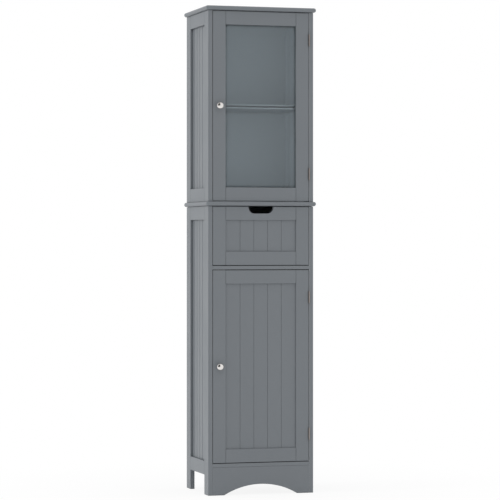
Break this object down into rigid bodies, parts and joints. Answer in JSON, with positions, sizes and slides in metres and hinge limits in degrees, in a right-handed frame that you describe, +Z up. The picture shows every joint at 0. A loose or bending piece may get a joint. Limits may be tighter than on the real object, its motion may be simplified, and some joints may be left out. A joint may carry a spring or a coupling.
{
  "type": "tall cabinet",
  "caption": "Tall free-standing bathroom cabinet with a glazed upper door, a drawer with a finger notch and a beaded lower door, on legs with an arched apron.",
  "frame": {"origin": "on the floor under the middle of the cabinet's box, knobs included", "axes": "+Z up, +X to the right seen from the front, +Y to the back; the doors face -Y"},
  "size_m": [0.4, 0.316, 1.7],
  "materials": {
    "grey_paint": "satin grey paint on fibreboard",
    "back_board": "grey lacquer on thin hardboard",
    "shelf_lacquer": "pale grey lacquer on fibreboard",
    "frosted_pane": "frosted float glass",
    "knob_metal": "polished nickel plate",
    "hinge_metal": "satin nickel",
    "zinc_fixings": "bright zinc plate",
    "runner_epoxy": "white epoxy coat",
    "roller_nylon": "natural nylon",
    "dowel_beech": "fluted beech",
    "catch_plastic": "moulded plastic",
    "strike_steel": "plated steel"
  },
  "bodies": {
    "carcass": {"top_board": "grey_paint", "waist_board": "grey_paint", "drawer_divider": "grey_paint", "bottom_board": "grey_paint", "front_apron": "grey_paint", "wall_rail": "grey_paint", "upper_shelf": "shelf_lacquer", "lower_shelf": "shelf_lacquer", "upper_back_panel": "back_board", "lower_back_panel": "back_board", "shelf_pins": "zinc_fixings", "carcass_dowels": "dowel_beech", "cam_fittings": "zinc_fixings", "carcass_screws": "zinc_fixings", "cabinet_runners": "runner_epoxy", "frame_hinge_leaves": "hinge_metal", "hinge_pins": "hinge_metal", "magnetic_catches": "catch_plastic", "upper_left_stiles": "grey_paint", "upper_left_rails": "grey_paint", "upper_left_panel": "grey_paint", "upper_right_stiles": "grey_paint", "upper_right_rails": "grey_paint", "upper_right_panel": "grey_paint", "lower_left_stiles": "grey_paint", "lower_left_rails": "grey_paint", "lower_left_panel": "grey_paint", "lower_right_stiles": "grey_paint", "lower_right_rails": "grey_paint", "lower_right_panel": "grey_paint"},
    "upper_door": {"upper_door_hinge_stile": "grey_paint", "upper_door_lock_stile": "grey_paint", "upper_door_rails": "grey_paint", "upper_door_knob": "knob_metal", "upper_door_hinge_leaves": "hinge_metal", "upper_door_strike_plate": "strike_steel", "upper_door_screws": "zinc_fixings", "upper_door_pane": "frosted_pane", "upper_door_beads": "grey_paint"},
    "lower_door": {"lower_door_hinge_stile": "grey_paint", "lower_door_lock_stile": "grey_paint", "lower_door_rails": "grey_paint", "lower_door_knob": "knob_metal", "lower_door_hinge_leaves": "hinge_metal", "lower_door_strike_plate": "strike_steel", "lower_door_screws": "zinc_fixings", "lower_door_panel": "grey_paint"},
    "drawer": {"drawer_front_stiles": "grey_paint", "drawer_front_top_rail": "grey_paint", "drawer_front_bottom_rail": "grey_paint", "drawer_front_panel": "grey_paint", "drawer_sides": "grey_paint", "drawer_back": "grey_paint", "drawer_bottom": "back_board", "drawer_runners": "runner_epoxy", "drawer_screws": "zinc_fixings", "drawer_cam_fittings": "zinc_fixings"},
    "cabinet_rollers": {"cabinet_rollers": "roller_nylon"},
    "drawer_rollers": {"drawer_rollers": "roller_nylon"}
  },
  "joints": [
    {"name": "upper_door_hinge", "type": "hinge", "parent": "carcass", "child": "upper_door", "pos_m": [0.1752, -0.1359, 1.3528], "axis": [0, 0, 1], "range_deg": [0, 180]},
    {"name": "lower_door_hinge", "type": "hinge", "parent": "carcass", "child": "lower_door", "pos_m": [0.1752, -0.1359, 0.447], "axis": [0, 0, 1], "range_deg": [0, 180]},
    {"name": "drawer_slide", "type": "slide", "parent": "carcass", "child": "drawer", "axis": [0, -1, 0], "range_m": [0, 0.21]},
    {"name": "cabinet_roller_spin", "type": "hinge", "parent": "carcass", "child": "cabinet_rollers", "pos_m": [0, -0.107, 0.81415], "axis": [1, 0, 0], "range_deg": [0, 2010]},
    {"name": "drawer_roller_spin", "type": "hinge", "parent": "drawer", "child": "drawer_rollers", "pos_m": [0, 0.124, 0.81415], "axis": [1, 0, 0], "range_deg": [0, 2010]}
  ],
  "couplings": [
    {"joint": "cabinet_roller_spin", "follows": "drawer_slide", "rad_per_m": 166.67},
    {"joint": "drawer_roller_spin", "follows": "drawer_slide", "rad_per_m": 166.67}
  ]
}
